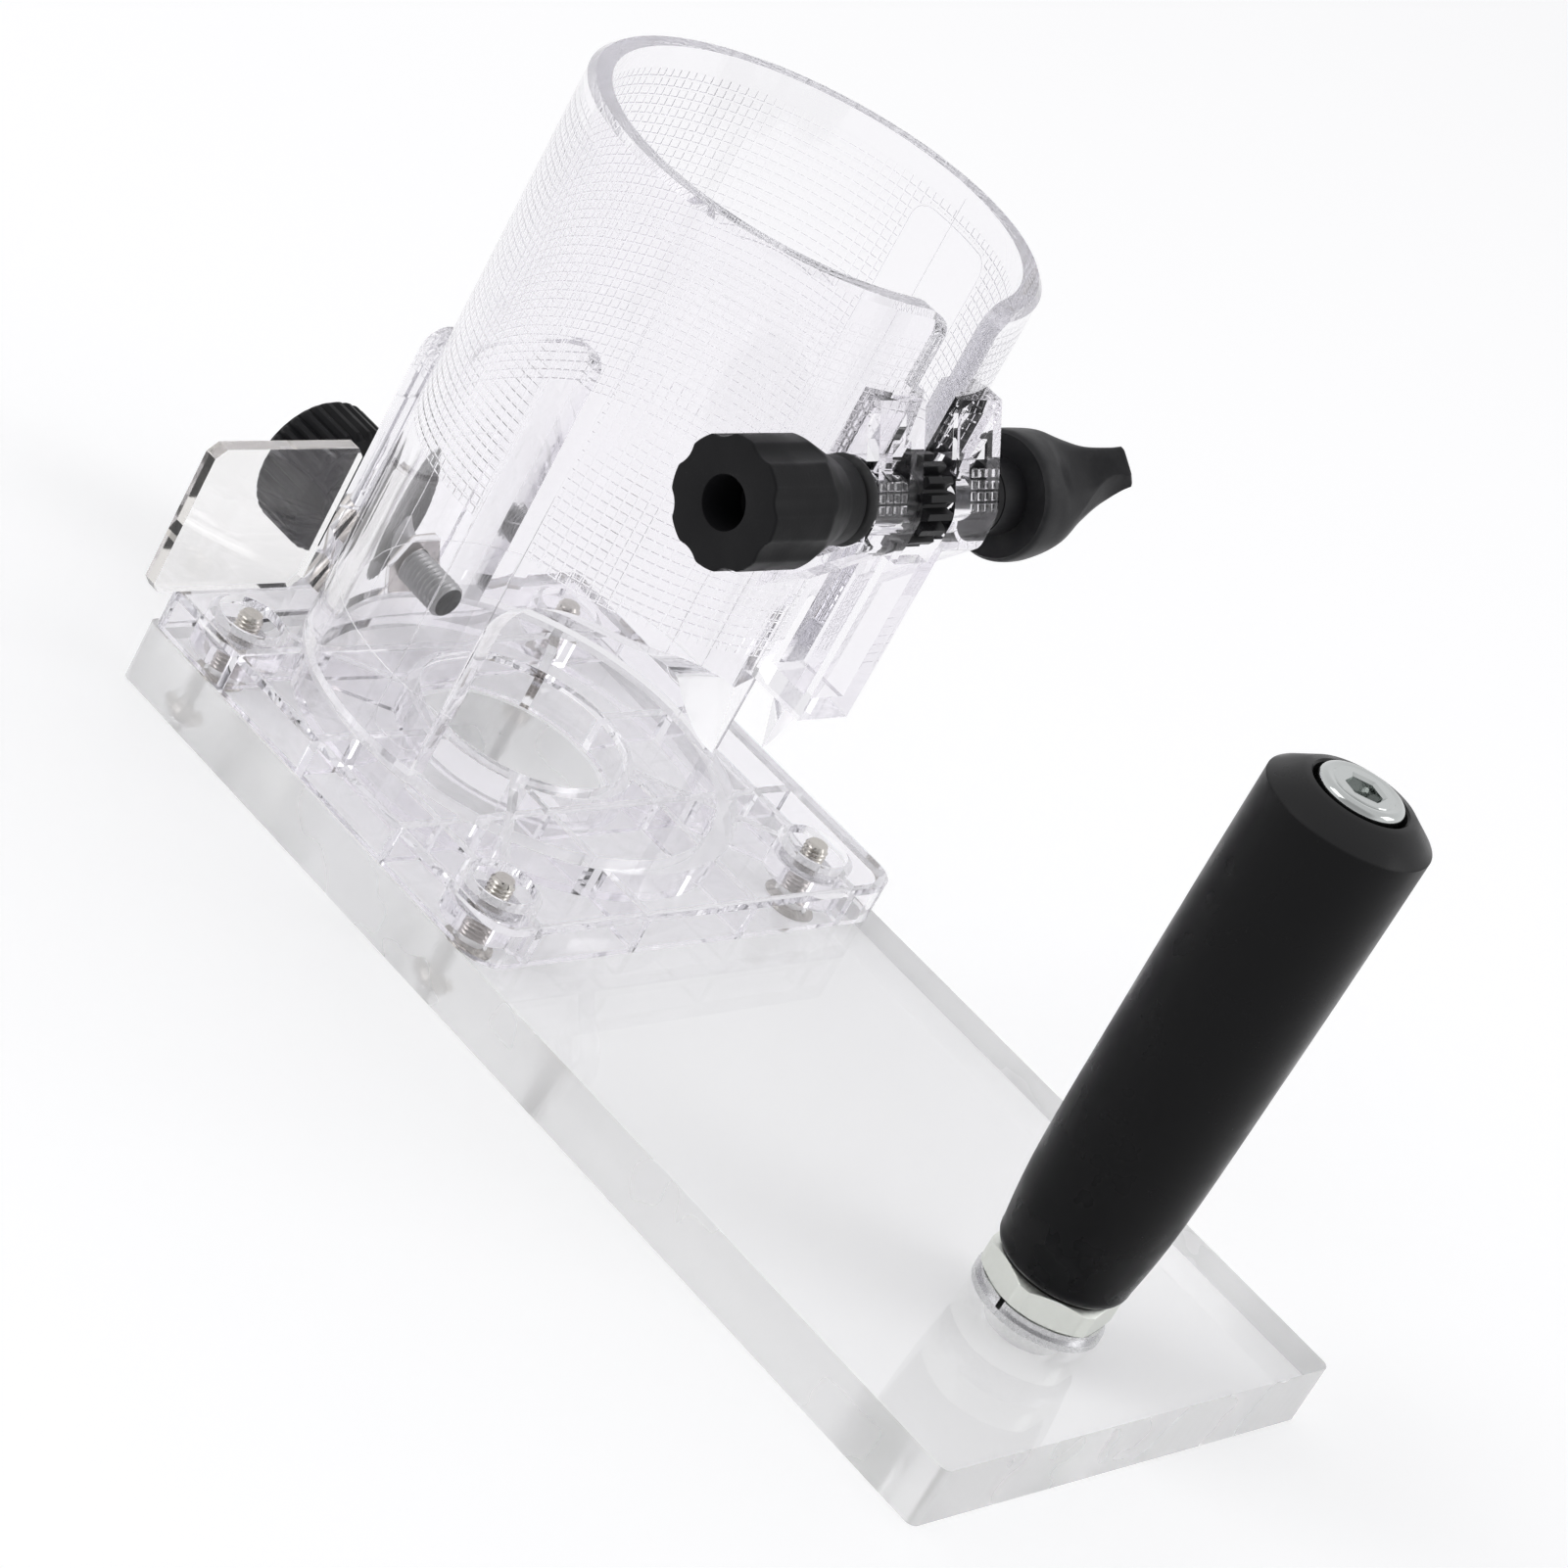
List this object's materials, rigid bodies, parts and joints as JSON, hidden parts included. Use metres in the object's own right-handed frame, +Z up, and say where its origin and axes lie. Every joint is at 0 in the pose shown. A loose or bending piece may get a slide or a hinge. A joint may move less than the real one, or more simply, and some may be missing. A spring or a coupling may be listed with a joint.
{
  "type": "trim router base",
  "caption": "Clear plunge-free base for a trim router: split motor tube with pinion clamp on an offset clear plate with an upright handle.",
  "frame": {"origin": "centre of the bit opening at the plate's underside, on the axis of the motor tube", "axes": "+Z up along the motor tube's axis, +X along the plate from the tube to the handle, +Y across the plate, from the star knob to the wing lever"},
  "size_m": [0.2065, 0.0955, 0.115],
  "materials": {
    "acrylic_plate": "clear acrylic sheet with sawn, slightly frosted edges",
    "acrylic_tab": "clear acrylic sheet with a warm edge tint",
    "clear_moulding": "clear injection-moulded plastic, polished",
    "nickel_screws": "nickel-plated steel",
    "washer_steel": "bright zinc-plated steel",
    "zinc_steel": "zinc-plated steel, satin",
    "dark_steel": "blackened steel",
    "insert_brass": "turned brass",
    "black_washer": "black nylon",
    "black_grip": "satin black moulded plastic",
    "black_knob": "black moulded plastic",
    "gear_plastic": "dark grey moulded plastic",
    "black_rubber": "black rubber",
    "chrome_bolt": "chrome-plated steel"
  },
  "bodies": {
    "base": {"clear_plate": "acrylic_plate", "base_flange": "clear_moulding", "motor_tube": "clear_moulding", "clamp_housing": "clear_moulding", "side_tab": "acrylic_tab", "corner_screws": "nickel_screws", "corner_washers": "washer_steel", "guide_nut": "nickel_screws", "clamp_bolt": "dark_steel", "lever_washer": "black_washer", "handle_stud": "zinc_steel", "handle_nut": "zinc_steel", "handle_washer": "washer_steel", "spring_washer": "washer_steel", "handle_grip": "black_grip", "handle_bolt": "chrome_bolt"},
    "thumb_screw": {"thumb_screw": "nickel_screws", "thumb_knob": "black_knob"},
    "star_knob": {"star_knob": "black_knob", "pinion_gear": "gear_plastic", "friction_ring": "black_rubber", "retaining_clip": "dark_steel"},
    "lever": {"wing_lever": "black_knob", "lever_nut": "insert_brass"}
  },
  "joints": [
    {"name": "thumb_screw_turn", "type": "hinge", "parent": "base", "child": "thumb_screw", "pos_m": [-0.04, 0, 0.022], "axis": [1, 0, 0], "continuous": true},
    {"name": "star_knob_turn", "type": "hinge", "parent": "base", "child": "star_knob", "pos_m": [0.0396, 0, 0.0872], "axis": [0, 1, 0], "continuous": true},
    {"name": "lever_turn", "type": "hinge", "parent": "base", "child": "lever", "pos_m": [0.0396, 0, 0.0872], "axis": [0, 1, 0], "range_deg": [0, 180]}
  ]
}
